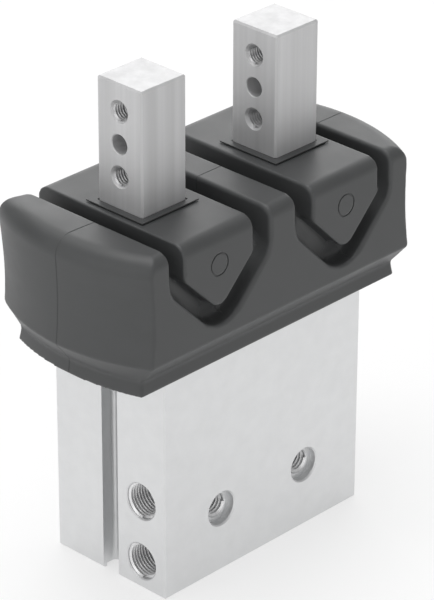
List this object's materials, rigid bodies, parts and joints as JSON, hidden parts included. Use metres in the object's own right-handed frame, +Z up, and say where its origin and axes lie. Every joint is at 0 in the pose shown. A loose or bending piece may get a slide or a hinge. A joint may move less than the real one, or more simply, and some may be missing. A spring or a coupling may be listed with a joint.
{
  "type": "parallel gripper",
  "caption": "Pneumatic parallel gripper: aluminium block with air ports and sensor slots, square steel jaws through a moulded rubber sealing cap.",
  "frame": {"origin": "centre of the base face of the block", "axes": "+X along the jaws' slide, away from the air ports; -Y out of the broad front face; +Z up along the posts"},
  "size_m": [0.1074, 0.0512, 0.132],
  "materials": {
    "anodised_aluminium": "matt clear anodised",
    "cover_aluminium": "turned, plain",
    "cap_rubber": "matt moulded elastomer, dark grey",
    "jaw_steel": "ground stainless steel",
    "rail_steel": "hardened and ground",
    "dark_fastener": "black oxide",
    "spring_steel": "phosphated spring steel",
    "bronze": "turned bronze",
    "seal_rubber": "smooth seal rubber",
    "guide_plastic": "filled bearing plastic",
    "magnet": "sintered magnet"
  },
  "bodies": {
    "housing": {"housing": "anodised_aluminium", "base_cover": "cover_aluminium", "base_cover_seal": "seal_rubber", "retaining_ring": "spring_steel", "rod_gland": "bronze", "gland_seal": "seal_rubber", "rod_seal": "seal_rubber", "guide_rail_front": "rail_steel", "guide_rail_back": "rail_steel", "rail_screws": "dark_fastener", "rail_dowels": "rail_steel", "sealing_cap": "cap_rubber"},
    "piston": {"piston": "cover_aluminium", "piston_seal": "seal_rubber", "piston_guide_ring": "guide_plastic", "sensor_magnet": "magnet", "piston_nut": "dark_fastener", "piston_rod": "rail_steel", "wedge_hook": "rail_steel"},
    "jaw_left": {"jaw_left": "jaw_steel"},
    "jaw_right": {"jaw_right": "jaw_steel"}
  },
  "joints": [
    {"name": "piston_slide", "type": "slide", "parent": "housing", "child": "piston", "axis": [0, 0, 1], "range_m": [-0.005, 0.005]},
    {"name": "jaw_left_slide", "type": "slide", "parent": "housing", "child": "jaw_left", "axis": [-1, 0, 0], "range_m": [-0.003, 0.003], "deforming": ["sealing_cap"]},
    {"name": "jaw_right_slide", "type": "slide", "parent": "housing", "child": "jaw_right", "axis": [1, 0, 0], "range_m": [-0.003, 0.003], "deforming": ["sealing_cap"]}
  ],
  "couplings": [
    {"joint": "jaw_left_slide", "follows": "piston_slide", "ratio": -0.6},
    {"joint": "jaw_right_slide", "follows": "piston_slide", "ratio": -0.6}
  ]
}
